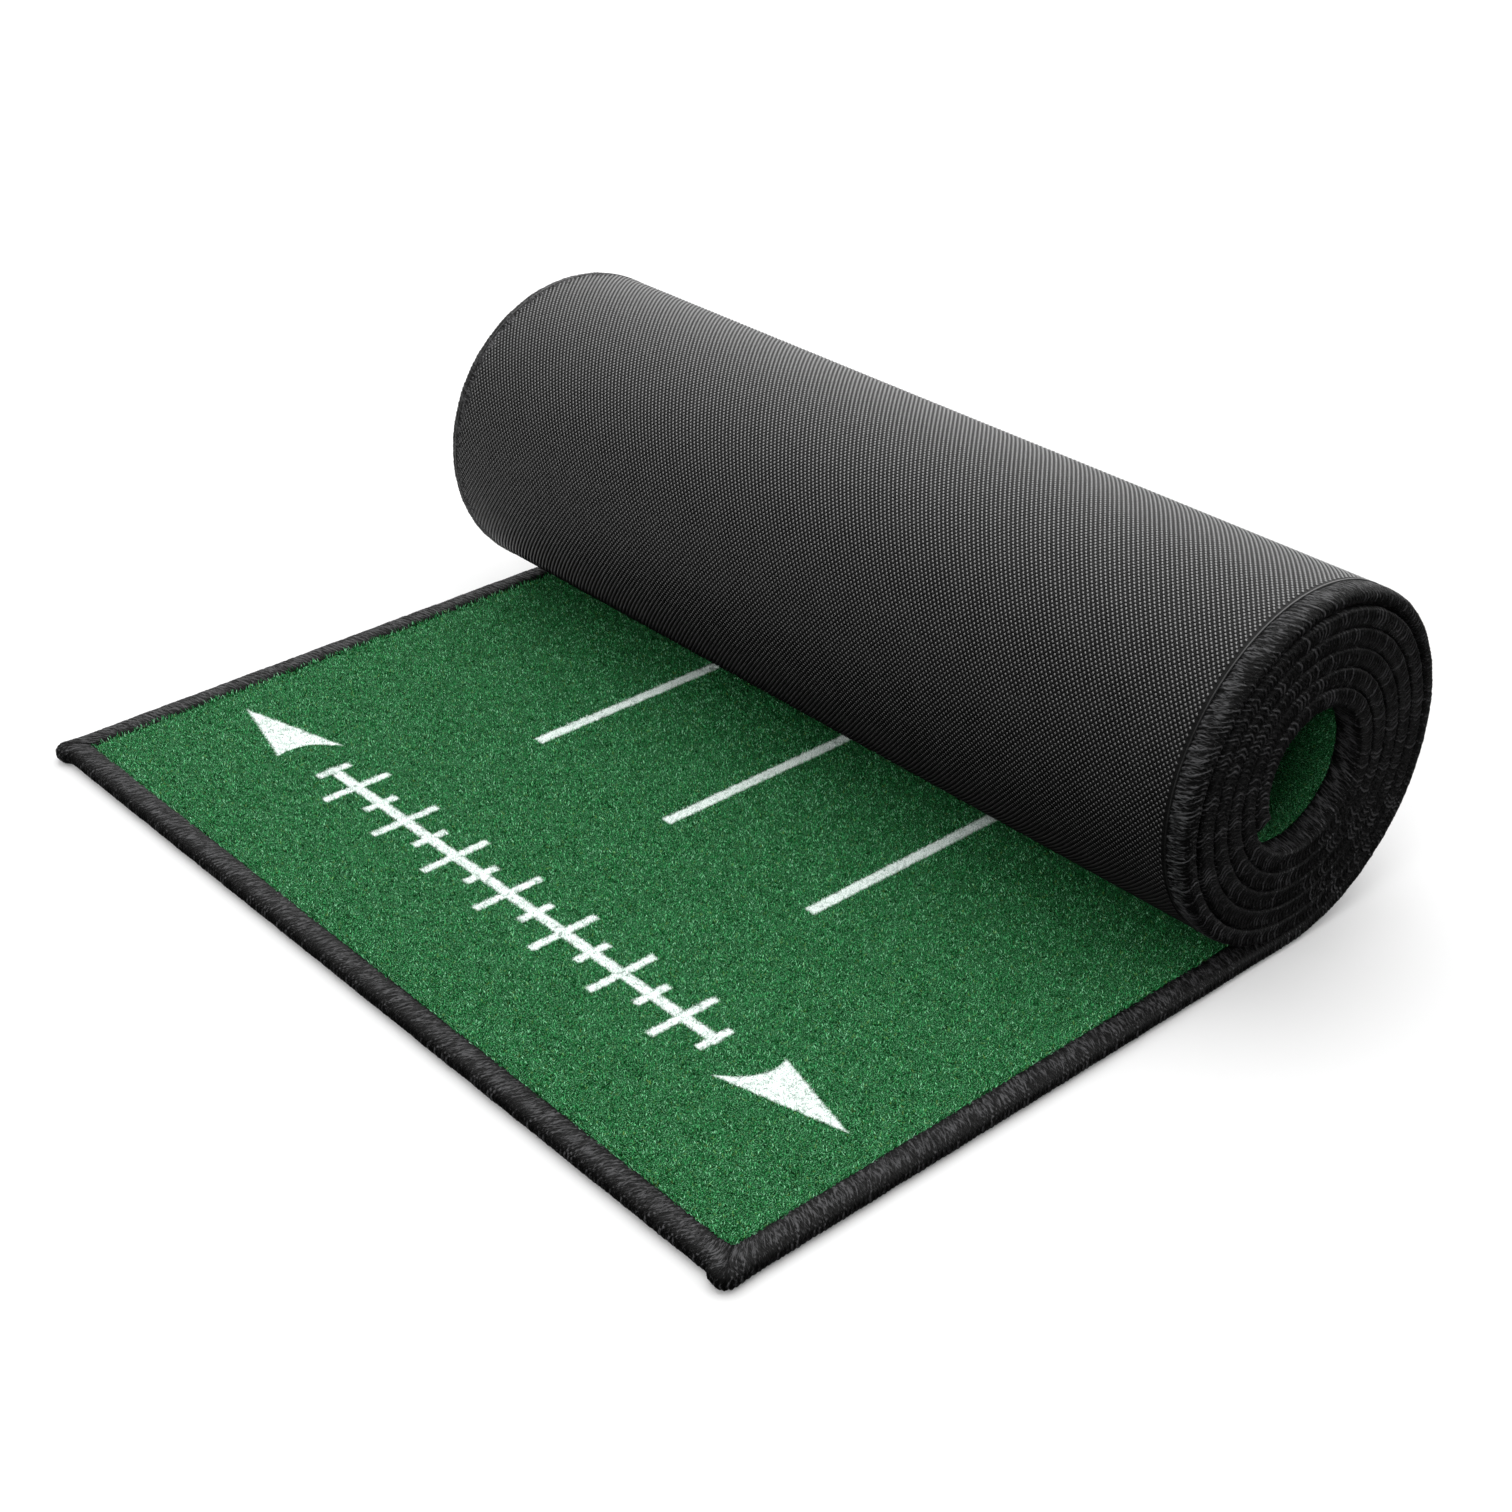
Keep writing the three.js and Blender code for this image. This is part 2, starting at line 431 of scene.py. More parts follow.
def yarn_material():
    """Black serging yarn. The uv map's across is the way that each wrap of yarn runs."""
    shader = Shader("binding_yarn", Specular_IOR_Level=0.16)
    one_way = shader.noise(1.1 * MM, detail=3, stretch=(5, 1), roughness=0.65, skew=0.22)
    other_way = shader.noise(0.8 * MM, detail=2, stretch=(6, 1), skew=-0.28)
    fibres = shader.math("MAXIMUM", one_way, other_way)
    lumps = shader.noise(5 * MM, detail=2)
    tone = shader.lean(fibres, lumps, 0.5, 0.2)
    # Painted highlights on the crests of the wraps. They are strongest round the binding's outer
    # edge, where crown is low, and the yarn between the wraps is painted darker.
    wrap = shader.add("ShaderNodeAttribute", attribute_name="wrap").outputs["Fac"]
    crest = shader.math("POWER", wrap, 4)
    crown = shader.add("ShaderNodeAttribute", attribute_name="crown").outputs["Fac"]
    crest_highlight_gain = shader.spread(crown, 0, 1, 0.72, 0.08)
    tone = shader.lean(tone, crest, 0.22, crest_highlight_gain)
    # Painted shade on the binding's outer side and painted light on its top and bottom: the tone is
    # darkened where crown is under 0.7 and lightened where it is over.
    tone = shader.lean(tone, crown, 0.7, 0.18)
    shader.colour(shader.ramp(
        tone,
        (0.44, (0.0022, 0.0022, 0.0022)),
        (0.55, (0.0045, 0.0045, 0.0046)),
        (0.70, (0.058, 0.058, 0.060)),
    ))
    shader.rough(shader.spread(fibres, 0.46, 0.7, 0.55, 0.38))
    shader.bump(fibres, 0.8 * MM)
    return shader.material


def fuzz_material():
    """Stray fibres of the yarn, which catch the light."""
    shader = Shader("yarn_fuzz", Roughness=0.5, Specular_IOR_Level=0.25)
    tint = shader.noise(3 * MM, detail=1)
    shader.colour(shader.ramp(tint, (0.42, (0.003, 0.003, 0.003)), (0.70, (0.09, 0.09, 0.092))))
    return shader.material


WEAVE_PITCH = 1.2 * MM


def cloth_material():
    """The woven cloth that the pile is tufted through."""
    shader = Shader("tufting_cloth", Roughness=0.9, Specular_IOR_Level=0.2)
    weave = []
    for way in (shader.across, shader.along):
        weave.append(shader.math("SINE", shader.math("MULTIPLY", way, 2 * math.pi / WEAVE_PITCH)))
    threads = shader.spread(shader.math("MULTIPLY", *weave), -1, 1)
    shader.colour(shader.ramp(threads, (0.0, (0.010, 0.012, 0.010)), (1.0, (0.035, 0.038, 0.033))))
    shader.bump(threads, 0.2 * MM)
    return shader.material


TURF = turf_material()
# Three copies of one rubber. The plain backing between the grain's bumps is a darker, duller copy:
# painted shade between the bumps. The rim is a lighter, glossier copy: a painted highlight along the
# seams. The grain's bumps take the glossiest copy.
BACKING = rubber_material("rubber_backing_painted_shade", 0.002, 0.005, 0.2, 0.5)
RIM = rubber_material("rubber_rim_painted_highlight", 0.004, 0.009, 0.9, 0.36)
GRAIN = rubber_material("rubber_grain", 0.003, 0.005, 1.0, 0.35, IOR=2.05)
YARN = yarn_material()
FUZZ = fuzz_material()
CLOTH = cloth_material()


# ---- Stretches of the mat: the flat run, a bend over each joint, and what stays rolled up ----
class Stretch:
    def __init__(self, name, first_run, last_run, number):
        self.name, self.first_run, self.last_run, self.number = name, first_run, last_run, number

    def is_bend(self):
        return 1 <= self.number <= BENDS

    def hold(self, piece, slot):
        """Rides the piece on this stretch's body. A bend's piece rides on no body: the ends of its
        run are worked out but not used, and its transform is baked into its mesh, so it stays where
        it is."""
        if self.is_bend():
            start, end = (Vector(place(0, run, 0)) for run in (self.first_run, self.last_run))
            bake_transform(piece)
        else:
            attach(piece, BODIES[min(self.number, BENDS)])

    def node(self, part):
        """The CAD node that a part of this stretch stands for."""
        if self.number == 0:
            return f"flat_{part}"
        return f"wrap_{self.number}_{part}" if self.number < BENDS else f"roll_{part}"


def all_stretches():
    ends = [run_of_turn(number * BEND_TURN) for number in range(BENDS + 1)]
    stretches = [Stretch("flat", 0.0, ends[0], 0)]
    for number in range(1, BENDS + 1):
        stretches.append(Stretch(f"bend_{number}", ends[number - 1], ends[number], number))
    stretches.append(Stretch("roll", ends[BENDS], MAT_LENGTH, BENDS + 1))
    return stretches


LAYER_HALF_WIDTH = HALF_WIDTH - BINDING_WIDTH + LAYER_TUCK
LAYER_INSET = BINDING_WIDTH - LAYER_TUCK  # from the mat's ends
TURF_GRID = 2 * MM
ROLL_GRID = 4 * MM  # along the hidden turns
SMOOTH_GRID = 1.5 * MM  # along the layers that show as curves
FLAT_GRID = 40 * MM  # across layers with nothing to show between their edges
HIDDEN_GRID = 20 * MM  # across the turf inside the roll
SEEN_REACH = 70 * MM  # how far in from its ends the roll's hollow shows its pile
LAYER_GAP = 0.1 * MM  # between the cloth and the layers above and below it
TURF_UNEVENNESS = 0.7 * MM
OPEN_TURN = run_of_turn(TAIL_TURN - 2 * math.pi)  # start of the turn seen in the roll's hollow


def layer_runs(stretch, spacing):
    """Runs of a layer's sections. The innermost turn is finer, because it shows."""
    first = max(stretch.first_run, LAYER_INSET)
    last = min(stretch.last_run, MAT_LENGTH - LAYER_INSET)
    if last <= OPEN_TURN:
        return steps(first, last, spacing)
    hidden = steps(first, OPEN_TURN, ROLL_GRID)[:-1]
    return np.concatenate([hidden, steps(OPEN_TURN, last, spacing)])


def layer(stretch, part, points, u, runs, material, sharp_angle=SHARP_ANGLE):
    piece = swept(f"{part}_{stretch.name}", points, u, runs, material, sharp_angle)
    stretch.hold(piece, part)
    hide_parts(stretch.node(part))
    return piece


def faces_of_layer(many_x, many_heights, few_height, runs):
    """Sections of a layer with many points across one face and two across the other, and their
    uv map's u."""
    x, run = np.meshgrid(many_x, runs)
    far_x, far_run = np.meshgrid(many_x[[-1, 0]], runs)
    near_face, far_face = place(x, run, many_heights), place(far_x, far_run, few_height)
    points = np.concatenate([near_face, far_face], axis=1)
    return points, np.concatenate([many_x, many_x[[-1, 0]], many_x[:1]])


def turf_layer(stretch):
    """The dense part of the pile, with an uneven top. It has no tip attribute, so the turf material
    paints it in the shade of the tufts' feet.
    """
    xs = steps(-LAYER_HALF_WIDTH, LAYER_HALF_WIDTH, TURF_GRID)
    if stretch.name == "roll":
        seen_from = LAYER_HALF_WIDTH - SEEN_REACH
        near_end = steps(LAYER_HALF_WIDTH, seen_from, TURF_GRID)
        middle = steps(seen_from, -seen_from, HIDDEN_GRID)[1:-1]
        xs = np.concatenate([near_end, middle, -near_end[::-1]])[::-1]
    runs = layer_runs(stretch, TURF_GRID)
    x, run = np.meshgrid(np.round(xs / MM, 2), np.round(runs / MM, 2))
    heights = PILE_ROOT + (scatter(x, run) - 0.5) * TURF_UNEVENNESS
    points, u = faces_of_layer(xs, heights, CLOTH_TOP, runs)
    return layer(stretch, "turf", points, u, runs, TURF, sharp_angle=50)


def cloth_layer(stretch):
    xs = steps(-LAYER_HALF_WIDTH, LAYER_HALF_WIDTH, FLAT_GRID)
    runs = layer_runs(stretch, SMOOTH_GRID)
    points, u = faces_of_layer(xs, CLOTH_TOP - LAYER_GAP, BACKING_TOP + LAYER_GAP, runs)
    return layer(stretch, "tufting_cloth", points, u, runs, CLOTH)


BACKING_LEFT, BACKING_RIGHT = LEFT_SEAM - HALF_WIDTH, HALF_WIDTH - RIGHT_SEAM
RIM_WIDTH = 1.0 * MM
RIM_PROFILE = ((0, 0.5), (0.2, 0.06), (0.4, 0), (0.8, 0.05), (1.0, 0.42))  # mm in, and mm up
RIM_BESIDE = 10 * MM  # the plain part of the backing starts this far in from its seams


def backing_layer(stretch):
    """Rubber with a smooth raised rim along both seams, where its grain stops."""
    rim_x, rim_heights = (np.array(values) * MM for values in zip(*RIM_PROFILE))
    middle = steps(BACKING_LEFT + RIM_BESIDE, BACKING_RIGHT - RIM_BESIDE, FLAT_GRID)
    xs = np.concatenate([BACKING_LEFT + rim_x, middle, BACKING_RIGHT - rim_x[::-1]])
    plain = np.full(len(middle), GRAIN_HEIGHT)
    heights = np.concatenate([rim_heights, plain, rim_heights[::-1]])
    runs = layer_runs(stretch, SMOOTH_GRID)
    points, u = faces_of_layer(xs, heights, BACKING_TOP, runs)
    piece = layer(stretch, "backing", points, u, runs, BACKING)
    # The rim's faces take the lighter, glossier rubber, as a painted highlight along each seam.
    piece.data.materials.append(RIM)
    centres = np.empty(len(piece.data.polygons) * 3)
    piece.data.polygons.foreach_get("center", centres)
    x = centres[::3]
    on_rim = (x < BACKING_LEFT + RIM_WIDTH) | (x > BACKING_RIGHT - RIM_WIDTH)
    piece.data.polygons.foreach_set("material_index", on_rim.astype(np.int32))
    return piece


# ---- Small closed pieces: tips of the pile, stray fibres, and the backing's grain ----
def spikes(name, feet, tips, uvs, material):
    """feet is (spikes, corners, 3) and tips is (spikes, 3)."""
    count, corners, _ = feet.shape
    points = np.concatenate([feet, tips[:, None]], axis=1).reshape(-1, 3)
    faces = [(side, (side + 1) % corners, corners) for side in range(corners)]
    faces = np.array(faces + [(0, side + 1, side) for side in range(1, corners - 1)])
    start = np.arange(count)[:, None, None] * (corners + 1)
    triangles = (start + faces).reshape(-1, 3).tolist()
    loop_uvs = np.repeat(uvs, faces.size, axis=0)
    return mesh_piece(name, points, triangles, loop_uvs, material, NEVER_SHARP)


GRAIN_ACROSS = 1.305 * MM  # between columns of bumps
GRAIN_ALONG = 1.5 * MM  # between rows, which are staggered
GRAIN_LENGTH, GRAIN_WIDTH = 0.92 * MM, 0.70 * MM  # of half a bump
GRAIN_RIDGE = 0.5 * MM  # half the length of its crest
GRAIN_SLANT = math.radians(50)
GRAIN_MARGIN = 1.6 * MM  # plain rubber beside the seams and the front binding
GRAIN_FOOT = 0.05 * MM  # how deep a bump's foot is sunk in the backing
GRAIN_WANDER = 0.2  # spread of the slant, in radians
GRAIN_WEAR = 0.06 * MM  # spread of the crests' heights
LAST_GRAIN_TURN = math.radians(548)  # the turns inside this one are never seen
FACES_PER_PIECE = 180000  # at most, so that the export keeps every face
BUMP_FACES = (
    (0, 1, 4), (1, 2, 5), (1, 5, 4), (2, 3, 5), (3, 0, 4), (3, 4, 5), (0, 2, 1), (0, 3, 2),
)


def grain(stretch):
    """The staggered slanting bumps of the backing, each with a short crest."""
    first = max(stretch.first_run, BINDING_WIDTH + GRAIN_MARGIN)
    last = min(stretch.last_run, run_of_turn(LAST_GRAIN_TURN))
    rows = np.arange(math.ceil(first / GRAIN_ALONG), math.ceil(last / GRAIN_ALONG))
    left, right = BACKING_LEFT + GRAIN_MARGIN, BACKING_RIGHT - GRAIN_MARGIN
    columns = np.arange(math.ceil(left / GRAIN_ACROSS), math.floor(right / GRAIN_ACROSS))
    row, column = (grid.ravel() for grid in np.meshgrid(rows, columns, indexing="ij"))
    staggered = (row + column) % 2 == 0
    row, column = row[staggered], column[staggered]
    x, run = column * GRAIN_ACROSS, row * GRAIN_ALONG
    turned = GRAIN_SLANT + (scatter(row, column) - 0.5) * GRAIN_WANDER
    crest = scatter(row, column, 1) * GRAIN_WEAR
    foot = GRAIN_HEIGHT + GRAIN_FOOT
    corners = []
    for along, beside, height in (
        (GRAIN_LENGTH, -GRAIN_WIDTH, foot), (GRAIN_LENGTH, GRAIN_WIDTH, foot),
        (-GRAIN_LENGTH, GRAIN_WIDTH, foot), (-GRAIN_LENGTH, -GRAIN_WIDTH, foot),
        (GRAIN_RIDGE, 0, crest), (-GRAIN_RIDGE, 0, crest),
    ):
        step_x = along * np.cos(turned) - beside * np.sin(turned)
        step_run = along * np.sin(turned) + beside * np.cos(turned)
        corners.append(place(x + step_x, run + step_run, height))
    points = np.stack(corners, axis=1)
    faces = np.array(BUMP_FACES)[:, ::-1]
    parts = math.ceil(len(x) * len(faces) / FACES_PER_PIECE)
    for part, chosen in enumerate(np.array_split(np.argsort(x, kind="stable"), parts)):
        start = np.arange(len(chosen))[:, None, None] * len(corners)
        uvs = np.repeat(np.stack([x[chosen], run[chosen]], -1), faces.size, axis=0)
        corners_of_faces = (start + faces).reshape(-1, 3).tolist()
        name = f"grain_{stretch.name}_{part}"
        bumps = points[chosen].reshape(-1, 3)
        piece = mesh_piece(name, bumps, corners_of_faces, uvs, GRAIN, NEVER_SHARP)
        stretch.hold(piece, "backing")


TUFT_RADIUS = 0.32 * MM
TUFT_LEAN = 1.35 * MM  # at most
TUFT_SHORTFALL = 1.0 * MM  # by which the shortest tufts end below the tallest
TUFT_SUNK = 0.4 * MM  # how deep the tufts' feet lie under the dense pile's top
BORDER = 1.8 * MM  # tufts this near a binding lean over it
BORDER_RISE = 0.9 * MM
BORDER_SPILL = 1.3 * MM  # at most


def tufts(name, stretch, x_span, run_span, per_square_mm, seed):
    """The tips of the pile, each a small leaning spike."""
    random = np.random.default_rng(seed)
    area = abs(x_span[1] - x_span[0]) * abs(run_span[1] - run_span[0])
    count = int(area / MM**2 * per_square_mm)
    x = random.uniform(*x_span, count)
    run = random.uniform(*run_span, count)
    angle = random.uniform(0, 2 * math.pi, count)
    lean = TUFT_LEAN * np.sqrt(random.uniform(0, 1, count))
    lean_angle = random.uniform(0, 2 * math.pi, count)
    radius = TUFT_RADIUS * random.uniform(0.7, 1.25, count)
    top = TUFT_TOP - random.uniform(0, TUFT_SHORTFALL, count)
    over_side = np.clip((np.abs(x) - HALF_WIDTH + BINDING_WIDTH + BORDER) / BORDER, 0, 1.3)
    over_front = np.clip((BINDING_WIDTH + BORDER - run) / BORDER, 0, 1.3)
    spill = random.uniform(0, BORDER_SPILL, count)
    top += np.maximum(over_side, over_front) * BORDER_RISE
    tip_x = x + lean * np.cos(lean_angle) + np.sign(x) * over_side * spill
    tip_run = run + lean * np.sin(lean_angle) - over_front * spill
    corners = []
    for third in range(3):
        direction = angle + third * 2 * math.pi / 3
        foot_x, foot_run = x + radius * np.cos(direction), run + radius * np.sin(direction)
        corners.append(place(foot_x, foot_run, PILE_ROOT - TUFT_SUNK))
    feet, tips = np.stack(corners, axis=1), place(tip_x, tip_run, top)
    piece = spikes(name, feet, tips, np.stack([x, run], -1), TURF)
    # tip is 0 at a tuft's feet and 1 at its tip. The turf material uses it to paint shade at the
    # roots and light at the tips.
    tip = piece.data.attributes.new("tip", "FLOAT", "POINT")
    tip.data.foreach_set("value", np.tile([0.0, 0.0, 0.0, 1.0], count).astype(np.float32))
    stretch.hold(piece, "turf")
    return piece


# ---- Bindings ----
def leg_point(outward, distance):
    """Where a wrap beside a corner lies: how far along the leg, and how far in from its outer
    edge. outward is from the binding's middle towards its outer edge, and distance is along the
    edge from the corner's middle."""
    radius = outward + CORNER_RADIUS - BINDING_WIDTH / 2
    inner = np.maximum(INNER_TURN - radius, 0)
    angle = np.clip(1 - distance / (CORNER_ARC / 2), 0, 1) * math.pi / 4
    turn_radius = np.maximum(radius, INNER_TURN)
    straight = np.maximum(distance - CORNER_ARC / 2, 0)
    fan = np.clip(1 - straight / CORNER_FAN, 0, 1) ** 2
    along = CORNER_RADIUS + inner * fan - turn_radius * np.sin(angle) + straight
    inwards = CORNER_RADIUS + inner - turn_radius * np.cos(angle)
    return along, inwards


def side_point(outward, distance):
    """(x of the right side, run), at a distance from the front corner's middle along a side."""
    near_front = distance < SIDE_LENGTH / 2
    from_corner = np.where(near_front, distance, SIDE_LENGTH - distance)
    along, inwards = leg_point(outward, from_corner)
    return HALF_WIDTH - inwards, np.where(near_front, along, MAT_LENGTH - along)


def end_point(outward, distance, at_tail):
    """(x, run), at a distance from the left corner's middle along the front or the tail end."""
    on_left = distance < END_LENGTH / 2
    from_corner = np.where(on_left, distance, END_LENGTH - distance)
    along, inwards = leg_point(outward, from_corner)
    x = HALF_WIDTH - along
    return np.where(on_left, -x, x), MAT_LENGTH - inwards if at_tail else inwards


def wrap_bow(around):
    """How far a wrap leans back along the edge, in pitches."""
    cosine = np.cos(around)
    return YARN_BOW * (0.4 * cosine + 0.6 * cosine**3)


def wrap_height(distance, around):
    """0 between two wraps of yarn and up to 1 on a wrap. Each wrap overlaps the one before it."""
    wander = 0.3 * np.sin(distance / (11.3 * MM)) + 0.2 * np.sin(distance / (5.1 * MM) + 1.7)
    phase = distance / YARN_PITCH + wander + wrap_bow(around)
    wrap = np.floor(phase)
    across = np.abs(2 * (phase - wrap) ** 0.65 - 1)
    return (1 - across**2.2) * (0.6 + 0.4 * scatter(wrap))


def yarn_rise(distance, around):
    """How far the yarn's surface stands out of the binding's outline."""
    tension = np.sin(distance / (3.4 * MM) + 2 * np.sin(around))
    tension = tension + np.sin(distance / (7.9 * MM) + around)
    return YARN_RELIEF * (wrap_height(distance, around) - YARN_LEVEL) + YARN_TENSION * tension


def knot(x, run):
    """The run of a place on a binding, moved out where the yarn is knotted at each corner."""
    beside = np.clip((LUMP_WIDTH - HALF_WIDTH + np.abs(x)) / LUMP_EDGE, 0, 1)
    beside = beside * beside * (3 - 2 * beside)
    at_front = np.clip(1 - run / BINDING_WIDTH, 0, 1.2)
    at_tail = np.clip(1 - (MAT_LENGTH - run) / BINDING_WIDTH, 0, 1.2)
    return run + LUMP_REACH * beside * (at_tail - at_front)


def binding_point(distance, around, point, pressed, corner_distance, lift=0.0):
    """(x, run, height) on a binding's yarn, or lift outside it. point gives x and run from
    outward and distance, and pressed is 1 where the turns of the roll press on each other."""
    cosine, sine = np.cos(around), np.sin(around)
    squareness = BINDING_SQUARENESS + (PRESSED_SQUARENESS - BINDING_SQUARENESS) * pressed
    scale = (np.abs(cosine) ** squareness + np.abs(sine) ** squareness) ** (-1 / squareness)
    outward = BINDING_WIDTH / 2 * cosine * scale
    upward = (BINDING_HALF_HEIGHT + PRESSED_SWELL * pressed) * sine * scale
    away_out, away_up = cosine * BINDING_HALF_HEIGHT, sine * BINDING_WIDTH / 2
    rise = (yarn_rise(distance, around) + lift) / np.hypot(away_out, away_up)
    swell = 1 + CORNER_SWELL * np.exp(-((corner_distance / CORNER_SWELL_REACH) ** 2))
    x, run = point((outward + rise * away_out) * swell, distance)
    return x, knot(x, run), BINDING_MIDDLE + (upward + rise * away_up) * swell


class Binding:
    """One stretch of serged edge. x_sign is -1 for the left edge, 1 for the right edge, and None
    for the front or tail edge."""

    def __init__(self, stretch, name, node, length, span, x_sign=None):
        self.stretch, self.name, self.node = stretch, name, node
        self.length, self.span, self.x_sign = length, span, x_sign

    def point(self, outward, distance):
        if self.x_sign is None:
            return end_point(outward, distance, at_tail=self.stretch.number > 0)
        x, run = side_point(outward, distance)
        return self.x_sign * x, run

    def pressed(self, distance):
        """0 where the binding lies free, and 1 where the turns of the roll press on each other."""
        if self.x_sign is None:
            return 0.0
        span = [edge_distance(run_of_turn(turn)) for turn in PRESSED_TURNS]
        return np.interp(distance, span, (0, 1))

    def places(self, distance, around, lift=0.0):
        corner_distance = np.minimum(distance, self.length - distance)
        pressed = self.pressed(distance)
        x, run, height = binding_point(distance, around, self.point, pressed, corner_distance, lift)
        if self.stretch.number == 0:
            height = np.maximum(height, 0)
        return place(x, run, height)

    def build(self, spacing, around_count):
        distances = steps(*self.span, spacing)
        around = np.linspace(0, 2 * math.pi, around_count, endpoint=False)
        grid = np.meshgrid(distances, around, indexing="ij")
        turned = np.concatenate([around, [2 * math.pi]])
        shift = wrap_bow(turned) * YARN_PITCH
        points, u = self.places(*grid), turned * GIRTH_PER_RADIAN
        piece = swept(self.name, points, u, distances, YARN, YARN_SHARP_ANGLE, shift)
        # crown is 1 on the top and bottom of the section and 0 at its outer edge. With the wrap
        # heights, the yarn material uses it to paint shade on the outer side and highlights on the
        # wraps' crests.
        crown = np.abs(np.sin(grid[1])) ** 3
        for name, values in (("wrap", wrap_height(*grid)), ("crown", crown)):
            attribute = piece.data.attributes.new(name, "FLOAT", "POINT")
            attribute.data.foreach_set("value", values.astype(np.float32).ravel())
        self.stretch.hold(piece, "binding")
        if self.node:
            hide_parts(self.node)

    def fuzz(self, count, seed):
        """Stray fibres along the wraps, each a long thin spike that lifts off the yarn."""
        random = np.random.default_rng(seed)
        first, last = self.span
        distance = random.uniform(first + FUZZ_LENGTH, last - FUZZ_LENGTH, count)
        around = random.uniform(*FUZZ_AROUND, count)
        way = random.choice([-1, 1], count)
        reach = random.uniform(0.5, 1, count) * way
        slant = random.normal(0, FUZZ_SLANT, count)
        lift = random.uniform(*FUZZ_LIFT, count) * MM
        tips = self.places(distance + slant, around + reach * FUZZ_TURN, lift)
        third = np.arange(3) * 2 * math.pi / 3
        foot_distance = distance[:, None] + FUZZ_RADIUS * np.cos(third)
        foot_turn = FUZZ_RADIUS / GIRTH_PER_RADIAN * np.sin(third)
        feet = self.places(foot_distance, around[:, None] + foot_turn * way[:, None], FUZZ_FOOT)
        uvs = np.stack([random.uniform(0, 1, count), random.uniform(0, 1, count)], -1)
        piece = spikes(f"fuzz_{self.name}", feet, tips, uvs, FUZZ)
        self.stretch.hold(piece, "binding")


YARN_SHARP_ANGLE = 60  # degrees
FUZZ_LENGTH = 2.2 * MM  # kept clear at both ends of a stretch
FUZZ_TURN = 0.36  # how far round the binding a fibre reaches, in radians
FUZZ_RADIUS = 0.09 * MM
FUZZ_AROUND = (-2.4, 2.2)  # the part that is seen: 0 is the outer edge, and up is positive
FUZZ_SLANT = 0.45 * MM
FUZZ_LIFT = (0.05, 0.5)  # mm, of the tips
FUZZ_FOOT = 0.02 * MM
FUZZ_PER_MM = 22  # fibres for each millimetre of edge
FINE_YARN = YARN_PITCH / 7  # between the sections of a binding
AROUND_COUNT, AROUND_COUNT_ON_ROLL = 20, 28  # points of a section
ROLL_BINDING_PARTS = 2


def edge_distance(run):
    """Distance along a side from its front corner's middle."""
    return run - CORNER_RADIUS + CORNER_ARC / 2


def side_binding(stretch, side):
    """A side's serged edge along one stretch. On the long roll it is made in parts, and the first
    one stands for the node."""
    first = 0.0 if stretch.number == 0 else edge_distance(stretch.first_run)
    last = SIDE_LENGTH if stretch.name == "roll" else edge_distance(stretch.last_run)
    sign = -1 if side == "left" else 1
    parts, around_count = 1, AROUND_COUNT
    if stretch.name == "roll":
        parts, around_count = ROLL_BINDING_PARTS, AROUND_COUNT_ON_ROLL
    cuts = np.linspace(first, last, parts + 1)
    for part, span in enumerate(zip(cuts[:-1], cuts[1:])):
        name = f"{side}_binding_{stretch.name}" + (f"_{part}" if part else "")
        node = None if part else stretch.node(f"{side}_binding")
        edge = Binding(stretch, name, node, SIDE_LENGTH, span, sign)
        edge.build(FINE_YARN, around_count)
        seed = 5 + 7 * stretch.number + sign + 301 * part
        edge.fuzz(int((span[1] - span[0]) / MM * FUZZ_PER_MM), seed)


def end_binding(stretch, name):
    edge = Binding(stretch, f"{name}_yarn", name, END_LENGTH, (0.0, END_LENGTH))
    edge.build(FINE_YARN, AROUND_COUNT)
    edge.fuzz(int(END_LENGTH / MM * FUZZ_PER_MM), seed=991 + stretch.number)


# ---- The whole mat ----
TUFTS_PER_SQUARE_MM = 1.25
FLAT_PATCHES = 4  # pieces of pile on the flat run
PILE_OVERHANG = 0.3 * MM  # of the pile past the turf's edges


def build_stretch(stretch, seed):
    """All the pieces of one stretch, and its three layers as sheets."""
    turf, cloth, backing = turf_layer(stretch), cloth_layer(stretch), backing_layer(stretch)
    grain(stretch)
    for side in ("left", "right"):
        side_binding(stretch, side)
    reach = LAYER_HALF_WIDTH + PILE_OVERHANG
    if stretch.name == "roll":
        x_spans = [sorted((sign * reach, sign * (reach - SEEN_REACH))) for sign in (-1, 1)]
        run_span = (OPEN_TURN, MAT_LENGTH - LAYER_INSET)
    else:
        edges = np.linspace(-reach, reach, 1 + (FLAT_PATCHES if stretch.number == 0 else 1))
        x_spans = zip(edges[:-1], edges[1:])
        run_span = (max(stretch.first_run, LAYER_INSET - PILE_OVERHANG), stretch.last_run)
    for number, x_span in enumerate(x_spans):
        name = f"pile_{stretch.name}_{number}"
        tufts(name, stretch, x_span, run_span, TUFTS_PER_SQUARE_MM, seed + number)


stretches = all_stretches()
for stretch in stretches:
    build_stretch(stretch, seed=100 * (stretch.number + 1))
end_binding(stretches[0], "front_binding")
end_binding(stretches[-1], "tail_binding")


